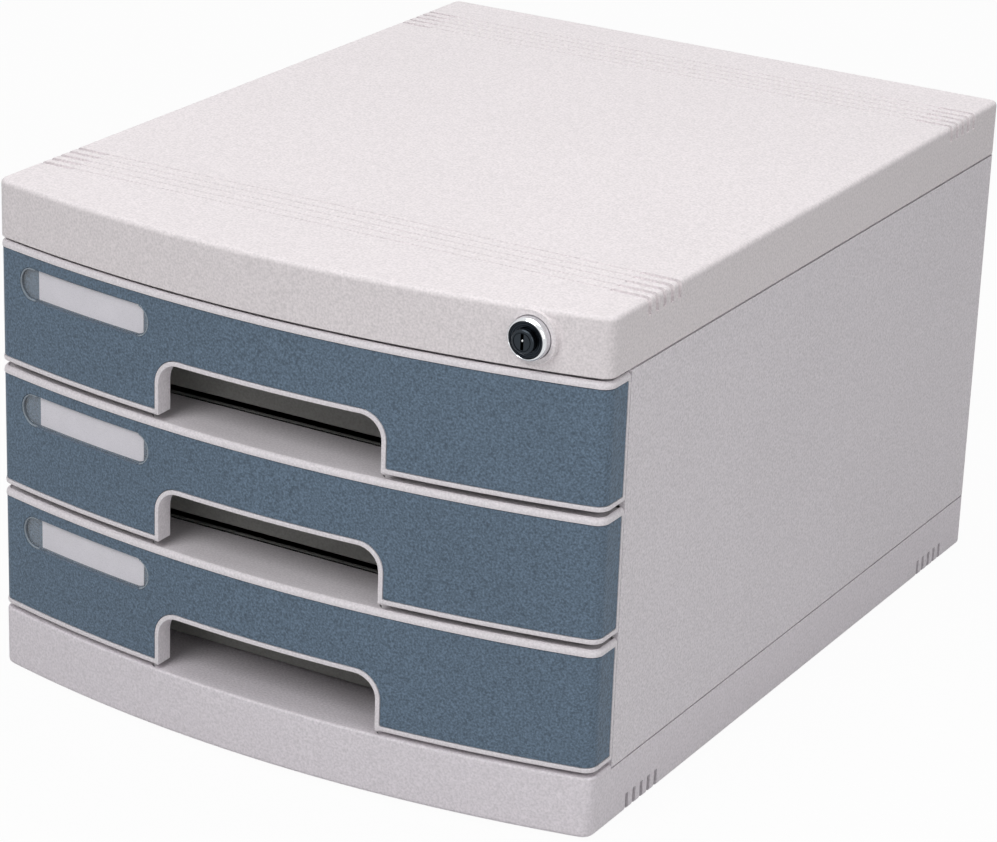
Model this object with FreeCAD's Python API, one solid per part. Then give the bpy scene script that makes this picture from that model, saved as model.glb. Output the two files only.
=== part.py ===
import FreeCAD, Part
import math
import os

# Desktop file drawer: a moulded plastic cabinet with a bowed front, three A4
# drawers and a cam lock in the cover that drops a locking bar beside them.
# Millimetres. +X right, +Y to the back, +Z up. The origin is on the desk
# under the middle of the cabinet, so the drawers pull out along -Y.

# ---- driving dimensions: the cabinet ----
WIDTH = 300.0
DEPTH = 395.0
BOW = 18.0                # how far the front bulges past its two corners
CORNER_R = 6.0            # upright front corners
BACK_R = 4.0              # upright back corners
FOOT_PROUD = 1.5
BASE_DECK_Z = 29.1
DRAWER_COUNT = 3
DRAWER_PITCH = 57.6
FRONT_HEIGHT = 55.1
FRONT_GAP = 2.1           # under each drawer front
COVER_GAP = 1.2           # between the top drawer front and the cover
TOP_Z = 228.5
COVER_EDGE_R = 2.4
COVER_LOW_R = 0.6
BASE_LOW_R = 2.0
BASE_DECK_R = 1.2
WALL = 2.8                # cover and base wall
PANEL_T = 3.0             # side panel
PANEL_LAP = 1.4           # side panel down into the base's rebate
SEAM = 0.75               # dark line between side panel, cover and base
CLEAR = 0.4               # running gap between parts that pass each other
SNUG = 0.2                # between parts seated against each other
EDGE = 1.0                # overshoot of cutting tools
TOUCH = 1e-4              # two heights this close count as the same

# ---- driving dimensions: a drawer ----
TRAVEL = 280.0
SHOULDER_TO_FRAME_REAR = 16.5
PANEL_FRONT_GAP = 0.4
FRAME_SKIN = 3.4
FRAME_TOP_T = 2.1
FRAME_TOP_R = 2.4
FRAME_LOW_R = 0.8
RIM_TOP = 3.2             # white edge above the blue fascia
RIM_BOTTOM = 2.2
RIM_SIDE = 1.4
FASCIA_DEPTH = 2.0        # pocket in the frame that takes the fascia
FASCIA_SET = 0.35         # fascia face below the rim
FASCIA_T = 1.6
FASCIA_CLEAR = 0.3
GRIP_HALF = 55.0          # finger cutout
GRIP_HEIGHT = 24.0
GRIP_R = 10.0
GRIP_RIM = 2.0
GRIP_WALL = 9.0           # how far the cutout's rim runs back
TRAY_HALF = 140.5
TRAY_WALL = 2.0
TRAY_REAR = 368.0         # from the shoulder line
TRAY_LIFT = 0.2           # tray bottom above the drawer front's lower edge
TRAY_DROP = 2.4           # tray side wall below the front's upper edge
TRAY_R = 6.0
TRAY_RIM_W = 2.0
TRAY_RIM_T = 1.6
TRAY_LOW_R = 1.0
TRAY_TAB_T = 6.0          # raised front edge of the tray
FRONT_SCREW_X = 90.0
FRONT_SCREW_Z = 15.0      # above the drawer front's lower edge
FRONT_BOSS_R = 4.0
FRONT_BOSS_START = 2.0    # behind the shoulder line
FRONT_SCREW_TIP = 4.0

# ---- driving dimensions: label holder ----
LABEL_X = -98.7
LABEL_Z = 39.3            # above the drawer front's lower edge
LABEL_L = 76.2
LABEL_H = 15.0
LABEL_FLOOR = 2.6         # pocket depth from the drawer face
LABEL_CUP_T = 1.2
LABEL_BACK = 3.6
WINDOW_SET = 0.5
WINDOW_T = 1.0
WINDOW_SKIRT = 0.7
WINDOW_CLEAR = 0.15
CARD_X = -95.4
CARD_L = 61.4
CARD_H = 12.8
CARD_T = 0.3
LABEL_REACH = 10.0        # behind the shoulder line, deeper than any pocket

# ---- driving dimensions: grooves on cover and base ----
GROOVE_COUNT = 5
GROOVE_PITCH = 6.3
GROOVE_FIRST = 29.5       # from the shoulder line
GROOVE_W = 2.6
GROOVE_DEPTH = 1.8
GROOVE_START = 0.9        # depth at the inner end on the cover's top
GROOVE_DROP = 7.3         # down the cover's side
GROOVE_RUN = 18.0         # in over the cover's top
BASE_GROOVE_SHIFT = 2.5   # the base's slots stand this much farther back
GROOVE_INNER_R = 3.0
FINE_GROOVE_W = 0.8
FINE_GROOVE_DEPTH = 0.25
SLOT_HEIGHT = 8.3         # up the base's side

# ---- driving dimensions: runners, stops, fixings ----
RUNNER_W = 13.0
RUNNER_T = 1.8
RUNNER_DROP = 0.3         # below the tray
STOP_W = 4.0
STOP_H = 8.0
STOP_FROM_REAR = 8.0
STOP_BELOW = 3.6          # stop block below the drawer front's upper edge
CLIP_GAP = 1.4            # between a tray's stop clip and the side panel
PANEL_WRAP = 8.0          # how far a panel reaches round the back corner
BACK_RISE = 6.0           # back panel up inside the cover
RUNNER_SHORT = 2.0        # runner ends this far before the tray does
SCREW_R = 1.5
PILOT_R = 1.55
CLEARANCE_R = 1.7
HEAD_R = 3.0
HEAD_T = 2.0
COVER_SCREW_L = 8.0       # into the cover boss
COVER_PILOT_L = 9.0
BASE_SCREW_L = 6.5        # into the panel's screw block
BASE_PILOT_L = 7.0
FOOT_R = 8.0
FOOT_EDGE_R = 0.6
FOOT_SNUG = 0.1
FOOT_BOSS_R = 11.0
FOOT_RECESS = 1.2
FOOT_X = 122.0
FOOT_INSETS = (32.0, 345.0)
EAR_INSETS = (46.0, 346.0)
EAR_X = 141.5
EAR_HALF = 6.0
EAR_T = 3.0
EAR_RISE = 0.6            # above the panel's edge, inside the cover
BASE_SCREW_INSETS = (62.0, 330.0)
BASE_SCREW_X = 143.8      # between the tray's side and the panel
SCREW_BLOCK_H = 8.0
SCREW_BLOCK_HALF = 3.0
BOSS_R = 4.5
BACK_T = 2.4
RIB_W = 3.7               # upright rib in front of the back panel
BASE_RIB_DROP = 3.0
BASE_RIB_T = 2.0
BASE_RIB_XS = (-60.0, 60.0)
BASE_RIB_INSETS = (125.0, 250.0)

# ---- driving dimensions: lock ----
LOCK_X = 117.4
LOCK_Z = 216.0
LOCK_HEAD_R = 9.0
LOCK_FACE_R = 7.8
LOCK_FACE = -11.8         # from the shoulder line, negative is forward
LOCK_SEAT = -5.6
LOCK_PAD_T = 3.9          # cover wall under the bezel and the nut
LOCK_PAD_RIM = 2.4
LOCK_RIM_R = 1.1
LOCK_DISH_RIM = 0.35
LOCK_DISH = 1.6
LOCK_NUT_R = 10.5
LOCK_NUT_T = 3.0
LOCK_BARREL_R = 7.0
BARREL_GAP = 0.1
NUT_GAP = 0.05
LOCK_BARREL_REAR = 12.6
PLUG_R = 5.1
PLUG_FACE = -14.3
PLUG_TAIL = 15.2
PLUG_GAP = 0.06
PLUG_EDGE_R = 0.7
PLUG_SCREW_L = 5.0
TAIL_HALF = 2.5
TAIL_SHORT = 0.3          # tail stops short so that the screw clamps the cam
KEYWAY_HALF_W = 0.7
KEYWAY_HALF_H = 3.4
KEYWAY_DEPTH = 12.0
CAM_T = 2.0
CAM_FRONT = 12.9
CAM_THROW = 7.0
CAM_REST_ANGLE = 45.0     # pin above the lock's axis when open, as far below when locked
CAM_HUB_R = 5.0
CAM_TIP_R = 3.0
CAM_SQUARE_GAP = 0.05
CAM_PIN_R = 1.5
CAM_PIN_PROUD = 0.8       # pin behind the bar's arm
CAM_SCREW_HEAD_R = 3.5
CAM_SCREW_HEAD_T = 1.6
CAM_SCREW_L = 4.0
BAR_T = 1.5
BAR_W = 10.0
BAR_FRONT = 20.1
BAR_X = 145.1
BAR_LOW_Z = 50.0
ARM_HEIGHT = 7.0
HOOK_Z = 29.0             # hook's lower edge above a drawer front's lower edge
HOOK_H = 8.0
HOOK_REACH = 2.0
KEEPER_Z = 22.0
KEEPER_H = 5.0
HOOK_T = 1.8
PIN_SLOT_GAP = 0.5
ARM_PAST_AXIS = 1.0
GUIDE_Z = 45.0            # above the drawer front's lower edge
GUIDE_H = 6.0
GUIDE_LIP = 0.8
GUIDE_FRONT_T = 1.8
GUIDE_REAR_T = 1.6
GUIDE_OVERLAP = 2.2

# ---- derived places ----
HALF = WIDTH / 2
FRONT_Y = -DEPTH / 2
BACK_Y = DEPTH / 2
SHOULDER_Y = FRONT_Y + BOW
BOW_R = (HALF ** 2 + BOW ** 2) / (2 * BOW)
BOW_CENTRE_Y = FRONT_Y + BOW_R
CORNER_X = HALF - CORNER_R
CORNER_Y = BOW_CENTRE_Y - math.sqrt((BOW_R - CORNER_R) ** 2 - CORNER_X ** 2)
FRAME_REAR_Y = SHOULDER_Y + SHOULDER_TO_FRAME_REAR
PANEL_FRONT_Y = FRAME_REAR_Y + PANEL_FRONT_GAP
FIRST_DRAWER_Z = BASE_DECK_Z + FRONT_GAP
COVER_Z = FIRST_DRAWER_Z + DRAWER_PITCH * (DRAWER_COUNT - 1) + FRONT_HEIGHT + COVER_GAP
PANEL_LOW_Z = BASE_DECK_Z - PANEL_LAP
PANEL_TOP_Z = COVER_Z - SEAM
EAR_TOP_Z = PANEL_TOP_Z + EAR_RISE
PANEL_INNER = HALF - PANEL_T
TRAY_REAR_Y = SHOULDER_Y + TRAY_REAR
CLIP_FRONT_Y = TRAY_REAR_Y - STOP_FROM_REAR - STOP_W
BLOCK_REAR_Y = CLIP_FRONT_Y - TRAVEL - RUNNER_DROP
BACK_FACE_Y = BACK_Y - PANEL_T - SNUG


def vec(x, y, z):
    return FreeCAD.Vector(x, y, z)


def at(distance):
    """Y of a point this far behind the line through the two front corners."""
    return SHOULDER_Y + distance


def box(x0, x1, y0, y1, z0, z1):
    return Part.makeBox(x1 - x0, y1 - y0, z1 - z0, vec(x0, y0, z0))


def mirrored_box(side, x0, x1, y0, y1, z0, z1):
    """A box given for the right-hand side, or its mirror image on the left."""
    if side > 0:
        return box(x0, x1, y0, y1, z0, z1)
    return box(-x1, -x0, y0, y1, z0, z1)


def rod_y(x, z, radius, y0, y1):
    return Part.makeCylinder(radius, y1 - y0, vec(x, y0, z), vec(0, 1, 0))


def rod_z(x, y, radius, z0, z1):
    return Part.makeCylinder(radius, z1 - z0, vec(x, y, z0), vec(0, 0, 1))


def line(a, b):
    return Part.LineSegment(a, b).toShape()


def arc(a, b, c):
    return Part.Arc(a, b, c).toShape()


def fused(shapes):
    first, *rest = shapes
    return first.fuse(rest).removeSplitter() if rest else first


def save(node, shape):
    shape.exportStep("parts/" + node + ".step")
    solids = len(shape.Solids)
    print(f"{node:28s} solids {solids}  volume {shape.Volume / 1000:8.2f} cm3  valid {shape.isValid()}")


# ---- plan outline of the cabinet: bowed front, round corners, square back ----

def plan_face(inset, rear_y, rear_r=0.0):
    half = HALF - inset
    bow_r = BOW_R - inset
    corner_r = CORNER_R - inset
    ux = CORNER_X / (BOW_R - CORNER_R)
    uy = (CORNER_Y - BOW_CENTRE_Y) / (BOW_R - CORNER_R)
    mid_length = math.hypot(ux + 1, uy)
    mid_x = CORNER_X + corner_r * (ux + 1) / mid_length
    mid_y = CORNER_Y + corner_r * uy / mid_length
    join_x = bow_r * ux
    join_y = BOW_CENTRE_Y + bow_r * uy
    crown = vec(0, BOW_CENTRE_Y - bow_r, 0)
    edges = [arc(vec(-join_x, join_y, 0), crown, vec(join_x, join_y, 0)),
             arc(vec(join_x, join_y, 0), vec(mid_x, mid_y, 0), vec(half, CORNER_Y, 0)),
             line(vec(half, CORNER_Y, 0), vec(half, rear_y - rear_r, 0))]
    if rear_r > 0:
        chord = bend(rear_r)
        edges.append(arc(vec(half, rear_y - rear_r, 0), vec(half - chord, rear_y - chord, 0),
                         vec(half - rear_r, rear_y, 0)))
    edges.append(line(vec(half - rear_r, rear_y, 0), vec(-half + rear_r, rear_y, 0)))
    if rear_r > 0:
        edges.append(arc(vec(-half + rear_r, rear_y, 0), vec(-half + chord, rear_y - chord, 0),
                         vec(-half, rear_y - rear_r, 0)))
    edges += [line(vec(-half, rear_y - rear_r, 0), vec(-half, CORNER_Y, 0)),
              arc(vec(-half, CORNER_Y, 0), vec(-mid_x, mid_y, 0), vec(-join_x, join_y, 0))]
    return Part.Face(Part.Wire(edges))


def bend(radius):
    """How far a quarter arc's middle stands in from its square corner."""
    return radius * (1 - math.sqrt(0.5))


def slab(inset, rear_y, z0, z1, rear_r=0.0):
    face = plan_face(inset, rear_y, rear_r)
    face.translate(vec(0, 0, z0))
    return face.extrude(vec(0, 0, z1 - z0))


def front_layer(depth, rear_y, z0, z1):
    """The outline's slab less the same slab moved back by the depth."""
    moved = slab(0, rear_y + depth + EDGE, z0 - EDGE, z1 + EDGE)
    moved.translate(vec(0, depth, 0))
    return slab(0, rear_y, z0, z1).cut(moved)


def shell(outer, inner, rear_y, z0, z1):
    """The layer between two insets of the outline, open at the back."""
    inner_slab = slab(inner, rear_y + EDGE, z0 - EDGE, z1 + EDGE)
    return slab(outer, rear_y, z0, z1).cut(inner_slab)


def round_level_edges(solid, z, radius, keep_rear_y=None):
    """Fillet the edges that lie at height z, leaving those on a rear plane."""
    chosen = []
    for edge in solid.Edges:
        bound = edge.BoundBox
        level = abs(bound.ZMin - z) < TOUCH and abs(bound.ZMax - z) < TOUCH
        rear = keep_rear_y is not None and abs(bound.YMin - keep_rear_y) < TOUCH
        if level and not rear:
            chosen.append(edge)
    return solid.makeFillet(radius, chosen)


def stadium(x, z, length, height, y0, y1):
    """A bar along Y whose section has round ends."""
    radius = height / 2
    reach = length / 2 - radius
    body = box(x - reach, x + reach, y0, y1, z - radius, z + radius)
    ends = [rod_y(x + sign * reach, z, radius, y0, y1) for sign in (-1, 1)]
    return fused([body] + ends)


def arch(half, z0, z1, radius, y0, y1):
    """A bar along Y with a flat foot and two round upper corners."""
    chord = bend(radius)
    p = [vec(-half, y0, z0), vec(half, y0, z0), vec(half, y0, z1 - radius),
         vec(half - chord, y0, z1 - chord), vec(half - radius, y0, z1),
         vec(-half + radius, y0, z1), vec(-half + chord, y0, z1 - chord),
         vec(-half, y0, z1 - radius)]
    edges = [line(p[0], p[1]), line(p[1], p[2]), arc(p[2], p[3], p[4]),
             line(p[4], p[5]), arc(p[5], p[6], p[7]), line(p[7], p[0])]
    return Part.Face(Part.Wire(edges)).extrude(vec(0, y1 - y0, 0))


def groove_places(shift=0.0):
    """Y of the ten grooves: a group near the front and its mirror near the back."""
    length = DEPTH - BOW
    front = [GROOVE_FIRST + GROOVE_PITCH * i for i in range(GROOVE_COUNT)]
    return [at(d + shift) for d in front] + [at(length - d + shift) for d in front]


# ---- cabinet ----

def cover_corner_groove(side, y):
    """A groove that deepens along the top and turns down over the side."""
    low = TOP_Z - GROOVE_DROP
    inner_r = GROOVE_INNER_R
    deep_x = HALF - GROOVE_DEPTH
    deep_z = TOP_Z - GROOVE_DEPTH
    chord = bend(inner_r)
    out_x = HALF + EDGE
    out_z = TOP_Z + EDGE
    p = [vec(HALF - GROOVE_RUN, y, TOP_Z - GROOVE_START), vec(deep_x - inner_r, y, deep_z),
         vec(deep_x - chord, y, deep_z - chord), vec(deep_x, y, deep_z - inner_r),
         vec(deep_x, y, low), vec(out_x, y, low), vec(out_x, y, out_z),
         vec(HALF - GROOVE_RUN, y, out_z)]
    edges = [line(p[0], p[1]), arc(p[1], p[2], p[3])]
    edges += [line(p[i], p[(i + 1) % len(p)]) for i in range(3, len(p))]
    tool = Part.Face(Part.Wire(edges)).extrude(vec(0, GROOVE_W, 0))
    tool.translate(vec(0, -GROOVE_W / 2, 0))
    return tool if side > 0 else tool.mirror(vec(0, 0, 0), vec(1, 0, 0))


def cover_boss(side, inset):
    """Screw column under the cover, tied to the side wall by a rib."""
    x = side * EAR_X
    y = at(inset)
    column = rod_z(x, y, BOSS_R, EAR_TOP_Z, TOP_Z - WALL + EDGE)
    tie = mirrored_box(side, EAR_X, HALF - EDGE, y - EDGE, y + EDGE, COVER_Z + WALL, TOP_Z - EDGE)
    return fused([column, tie])


def top_cover():
    body = slab(0, BACK_Y, COVER_Z, TOP_Z, BACK_R)
    body = round_level_edges(body, TOP_Z, COVER_EDGE_R)
    body = round_level_edges(body, COVER_Z, COVER_LOW_R)
    hollow = slab(WALL, BACK_Y - WALL, COVER_Z - EDGE, TOP_Z - WALL, BACK_R - WALL)
    body = body.cut(hollow)
    lock_pad = rod_y(LOCK_X, LOCK_Z, LOCK_HEAD_R + LOCK_PAD_RIM, at(LOCK_SEAT) - EDGE,
                     at(LOCK_SEAT) + LOCK_PAD_T)
    bosses = [cover_boss(side, inset) for side in (-1, 1) for inset in EAR_INSETS]
    pad = lock_pad.common(slab(EDGE, BACK_Y, COVER_Z, TOP_Z - EDGE))
    body = body.fuse(bosses + [pad])
    tools = [rod_y(LOCK_X, LOCK_Z, LOCK_HEAD_R + SNUG, FRONT_Y, at(LOCK_SEAT)),
             rod_y(LOCK_X, LOCK_Z, LOCK_BARREL_R + BARREL_GAP, FRONT_Y, at(LOCK_BARREL_REAR))]
    for side in (-1, 1):
        tools += [rod_z(side * EAR_X, at(inset), PILOT_R, EAR_TOP_Z - EDGE,
                        EAR_TOP_Z + COVER_PILOT_L) for inset in EAR_INSETS]
        tools += [cover_corner_groove(side, y) for y in groove_places()]
    for y in groove_places():
        tools.append(box(-HALF + GROOVE_RUN - EDGE, HALF - GROOVE_RUN + EDGE, y - FINE_GROOVE_W / 2,
                         y + FINE_GROOVE_W / 2, TOP_Z - FINE_GROOVE_DEPTH, TOP_Z + EDGE))
    return body.cut(tools)


def base_ribs():
    z0 = BASE_DECK_Z - WALL - BASE_RIB_DROP
    z1 = BASE_DECK_Z - EDGE
    half_t = BASE_RIB_T / 2
    long_ribs = [box(x - half_t, x + half_t, at(0), BACK_Y - EDGE, z0, z1) for x in BASE_RIB_XS]
    cross_ribs = [box(-HALF + EDGE, HALF - EDGE, at(d) - half_t, at(d) + half_t, z0, z1)
                  for d in BASE_RIB_INSETS]
    return long_ribs + cross_ribs


def base():
    body = slab(0, BACK_Y, FOOT_PROUD, BASE_DECK_Z, BACK_R)
    body = round_level_edges(body, FOOT_PROUD, BASE_LOW_R)
    body = round_level_edges(body, BASE_DECK_Z, BASE_DECK_R)
    body = body.cut(slab(WALL, BACK_Y - WALL, 0, BASE_DECK_Z - WALL, BACK_R - WALL))
    bosses = [rod_z(side * FOOT_X, at(inset), FOOT_BOSS_R, FOOT_PROUD, BASE_DECK_Z - EDGE)
              for side in (-1, 1) for inset in FOOT_INSETS]
    body = body.fuse(bosses + base_ribs())
    step_z = PANEL_LOW_Z - SEAM
    tools = [box(-HALF - EDGE, HALF + EDGE, BACK_FACE_Y - SNUG, BACK_Y + EDGE, step_z,
                 BASE_DECK_Z + EDGE)]
    for side in (-1, 1):
        tools.append(mirrored_box(side, PANEL_INNER - SNUG, HALF + EDGE, PANEL_FRONT_Y - CLEAR,
                                  BACK_Y + EDGE, step_z, BASE_DECK_Z + EDGE))
        tools += [rod_z(side * FOOT_X, at(inset), FOOT_R + FOOT_SNUG, 0, FOOT_PROUD + FOOT_RECESS)
                  for inset in FOOT_INSETS]
        tools += [rod_z(side * BASE_SCREW_X, at(inset), CLEARANCE_R, 0, BASE_DECK_Z + EDGE)
                  for inset in BASE_SCREW_INSETS]
        tools += [mirrored_box(side, HALF - WALL - EDGE, HALF + EDGE, y - GROOVE_W / 2,
                               y + GROOVE_W / 2, 0, FOOT_PROUD + SLOT_HEIGHT)
                  for y in groove_places(BASE_GROOVE_SHIFT)]
    return body.cut(tools)


def drawer_z(number):
    """Lower edge of a drawer front; drawer 1 is the top one."""
    return FIRST_DRAWER_Z + DRAWER_PITCH * (DRAWER_COUNT - number)


def runner(side, number):
    top = drawer_z(number) + TRAY_LIFT - RUNNER_DROP
    low = BASE_DECK_Z if number == DRAWER_COUNT else top - RUNNER_T
    return mirrored_box(side, PANEL_INNER - RUNNER_W, PANEL_INNER + EDGE, PANEL_FRONT_Y,
                        TRAY_REAR_Y - RUNNER_SHORT, low, top)


def stop_block(side, number):
    top = drawer_z(number) + FRONT_HEIGHT - STOP_BELOW
    return mirrored_box(side, TRAY_HALF + TRAY_RIM_W + 2 * CLEAR, PANEL_INNER + EDGE,
                        BLOCK_REAR_Y - STOP_W, BLOCK_REAR_Y, top - STOP_H, top)


def bar_guide(number):
    """Two small hooks on the right panel that hold the locking bar to it."""
    z0 = drawer_z(number) + GUIDE_Z
    z1 = z0 + GUIDE_H
    lip_x = BAR_X - CLEAR - GUIDE_LIP
    front = at(BAR_FRONT - CLEAR)
    rear = at(BAR_FRONT + BAR_W + CLEAR)
    before = front - GUIDE_FRONT_T
    behind = rear + GUIDE_REAR_T
    return [box(lip_x, PANEL_INNER + EDGE, before, front, z0, z1),
            box(lip_x, BAR_X - CLEAR, before, front + GUIDE_OVERLAP, z0, z1),
            box(lip_x, PANEL_INNER + EDGE, rear, behind, z0, z1),
            box(lip_x, BAR_X - CLEAR, rear - GUIDE_OVERLAP, behind, z0, z1)]


def side_panel(side):
    ring = slab(0, BACK_Y, PANEL_LOW_Z, PANEL_TOP_Z, BACK_R)
    ring = ring.cut(slab(PANEL_T, BACK_Y - PANEL_T, 0, TOP_Z, BACK_R - PANEL_T))
    skin = ring.common(mirrored_box(side, HALF - PANEL_WRAP, HALF + EDGE, PANEL_FRONT_Y,
                                    BACK_Y + EDGE, 0, TOP_Z))
    ribs = [runner(side, n) for n in range(1, DRAWER_COUNT + 1)]
    ribs += [stop_block(side, n) for n in range(1, DRAWER_COUNT + 1)]
    ribs += [mirrored_box(side, EAR_X - EAR_HALF, PANEL_INNER + EDGE, at(d) - EAR_HALF,
                          at(d) + EAR_HALF, EAR_TOP_Z - EAR_T, EAR_TOP_Z) for d in EAR_INSETS]
    ribs += [mirrored_box(side, TRAY_HALF + 2 * CLEAR, PANEL_INNER + EDGE, at(d) - SCREW_BLOCK_HALF,
                          at(d) + SCREW_BLOCK_HALF, BASE_DECK_Z, BASE_DECK_Z + SCREW_BLOCK_H)
             for d in BASE_SCREW_INSETS]
    ribs.append(mirrored_box(side, TRAY_HALF + TRAY_RIM_W + CLEAR, PANEL_INNER + EDGE,
                             BACK_FACE_Y - BACK_T - CLEAR - RIB_W, BACK_FACE_Y - BACK_T - CLEAR,
                             BASE_DECK_Z, EAR_TOP_Z - EAR_T))
    tools = [rod_z(side * EAR_X, at(d), CLEARANCE_R, EAR_TOP_Z - EAR_T - EDGE, EAR_TOP_Z + EDGE)
             for d in EAR_INSETS]
    tools += [Part.makeCone(HEAD_R + SNUG, CLEARANCE_R, HEAD_T,
                            vec(side * EAR_X, at(d), EAR_TOP_Z - EAR_T)) for d in EAR_INSETS]
    tools += [rod_z(side * BASE_SCREW_X, at(d), PILOT_R, BASE_DECK_Z - EDGE, BASE_DECK_Z + BASE_PILOT_L)
              for d in BASE_SCREW_INSETS]
    tools.append(mirrored_box(side, PANEL_INNER, HALF + EDGE, FRONT_Y, BACK_Y + EDGE, PANEL_TOP_Z, TOP_Z))
    if side > 0:
        ribs += [piece for n in range(1, DRAWER_COUNT + 1) for piece in bar_guide(n)]
        tools.append(box(BAR_X - CLEAR, PANEL_INNER, at(BAR_FRONT - CLEAR),
                         at(BAR_FRONT + BAR_W + CLEAR), BAR_LOW_Z - 2 * CAM_THROW, PANEL_TOP_Z))
    return fused([skin] + ribs).cut(tools)


def back_panel():
    half = PANEL_INNER - CLEAR
    return box(-half, half, BACK_FACE_Y - BACK_T, BACK_FACE_Y, BASE_DECK_Z, COVER_Z + BACK_RISE)


def rubber_feet():
    feet = []
    for side in (-1, 1):
        for inset in FOOT_INSETS:
            pad = rod_z(side * FOOT_X, at(inset), FOOT_R, 0, FOOT_PROUD + FOOT_RECESS)
            feet.append(round_level_edges(pad, 0, FOOT_EDGE_R))
    return Part.makeCompound(feet)


def cover_screws():
    """Countersunk screws up through the side panels' ears into the cover."""
    low = EAR_TOP_Z - EAR_T
    screws = []
    for side in (-1, 1):
        for inset in EAR_INSETS:
            x = side * EAR_X
            head = Part.makeCone(HEAD_R, SCREW_R, HEAD_T, vec(x, at(inset), low))
            shank = rod_z(x, at(inset), SCREW_R, low + EDGE, EAR_TOP_Z + COVER_SCREW_L)
            screws.append(fused([head, shank]))
    return Part.makeCompound(screws)


def base_screws():
    """Pan-head screws up through the deck into the side panels' screw blocks."""
    low = BASE_DECK_Z - WALL
    screws = []
    for side in (-1, 1):
        for inset in BASE_SCREW_INSETS:
            x = side * BASE_SCREW_X
            head = rod_z(x, at(inset), HEAD_R, low - HEAD_T, low)
            shank = rod_z(x, at(inset), SCREW_R, low - EDGE, BASE_DECK_Z + BASE_SCREW_L)
            screws.append(fused([head, shank]))
    return Part.makeCompound(screws)


# ---- one drawer ----

def front_frame(number):
    z0 = drawer_z(number)
    z1 = z0 + FRONT_HEIGHT
    body = slab(0, FRAME_REAR_Y, z0, z1)
    body = round_level_edges(body, z1, FRAME_TOP_R, FRAME_REAR_Y)
    body = round_level_edges(body, z0, FRAME_LOW_R, FRAME_REAR_Y)
    body = body.cut(slab(FRAME_SKIN, FRAME_REAR_Y + EDGE, z0 - EDGE, z1 - FRAME_TOP_T))
    outer_half = GRIP_HALF + GRIP_RIM
    outer_top = z0 + GRIP_HEIGHT + GRIP_RIM
    rim_area = arch(outer_half, z0 - EDGE, outer_top, GRIP_R + GRIP_RIM, FRONT_Y - EDGE, FRAME_REAR_Y)
    fascia_rear = FRAME_REAR_Y - RIM_SIDE
    pocket = slab(-EDGE, fascia_rear, z0 + RIM_BOTTOM, z1 - RIM_TOP)
    pocket = pocket.cut([slab(FASCIA_DEPTH, BACK_Y, z0, z1), rim_area])
    rim_wall = front_layer(GRIP_WALL, FRAME_REAR_Y, z0, outer_top).common(rim_area)
    behind_pocket = slab(FASCIA_DEPTH + SNUG, FRAME_REAR_Y, z0, z1)
    bosses = [rod_y(x, z0 + FRONT_SCREW_Z, FRONT_BOSS_R, FRONT_Y, FRAME_REAR_Y).common(behind_pocket)
              for x in (-FRONT_SCREW_X, FRONT_SCREW_X)]
    body = body.cut(pocket).fuse([rim_wall] + bosses)
    cup = 2 * (LABEL_CUP_T + SNUG)
    tools = [arch(GRIP_HALF, z0 - EDGE, z0 + GRIP_HEIGHT, GRIP_R, FRONT_Y - EDGE, FRAME_REAR_Y),
             stadium(LABEL_X, z0 + LABEL_Z, LABEL_L + cup, LABEL_H + cup, FRONT_Y, at(LABEL_REACH))]
    tools += [rod_y(x, z0 + FRONT_SCREW_Z, PILOT_R, at(FRONT_BOSS_START), FRAME_REAR_Y + EDGE)
              for x in (-FRONT_SCREW_X, FRONT_SCREW_X)]
    return body.cut(tools)


def fascia(number):
    z0 = drawer_z(number) + RIM_BOTTOM + FASCIA_CLEAR
    z1 = drawer_z(number) + FRONT_HEIGHT - RIM_TOP - FASCIA_CLEAR
    label_z = drawer_z(number) + LABEL_Z
    rear = FRAME_REAR_Y - RIM_SIDE - FASCIA_CLEAR
    face_rear = FASCIA_SET + FASCIA_T
    plate = shell(FASCIA_SET, face_rear, rear, z0, z1)
    grip_half = GRIP_HALF + GRIP_RIM + FASCIA_CLEAR
    grip_top = drawer_z(number) + GRIP_HEIGHT + GRIP_RIM + FASCIA_CLEAR
    plate = plate.cut(arch(grip_half, z0 - EDGE, grip_top, GRIP_R + GRIP_RIM + FASCIA_CLEAR,
                           FRONT_Y - EDGE, rear))
    rim = 2 * LABEL_CUP_T
    cup = stadium(LABEL_X, label_z, LABEL_L + rim, LABEL_H + rim, FRONT_Y, at(LABEL_REACH))
    cup = cup.common(shell(EDGE, LABEL_BACK, rear, z0, z1))
    hole = stadium(LABEL_X, label_z, LABEL_L, LABEL_H, FRONT_Y - EDGE, at(LABEL_REACH))
    hole = hole.cut(slab(LABEL_FLOOR, BACK_Y, z0, z1))
    return plate.fuse(cup).cut(hole)


def label_window(number):
    """Clear lens with a skirt that stands on the label pocket's floor."""
    z = drawer_z(number) + LABEL_Z
    gap = 2 * WINDOW_CLEAR
    wall = 2 * WINDOW_SKIRT
    z0 = z - LABEL_H
    z1 = z + LABEL_H
    outer = stadium(LABEL_X, z, LABEL_L - gap, LABEL_H - gap, FRONT_Y, at(LABEL_REACH))
    outer = outer.common(shell(WINDOW_SET, LABEL_FLOOR, FRAME_REAR_Y, z0, z1))
    inner = stadium(LABEL_X, z, LABEL_L - gap - wall, LABEL_H - gap - wall, FRONT_Y, at(LABEL_REACH))
    inner = inner.common(slab(WINDOW_SET + WINDOW_T, FRAME_REAR_Y, z0, z1))
    return outer.cut(inner)


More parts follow.
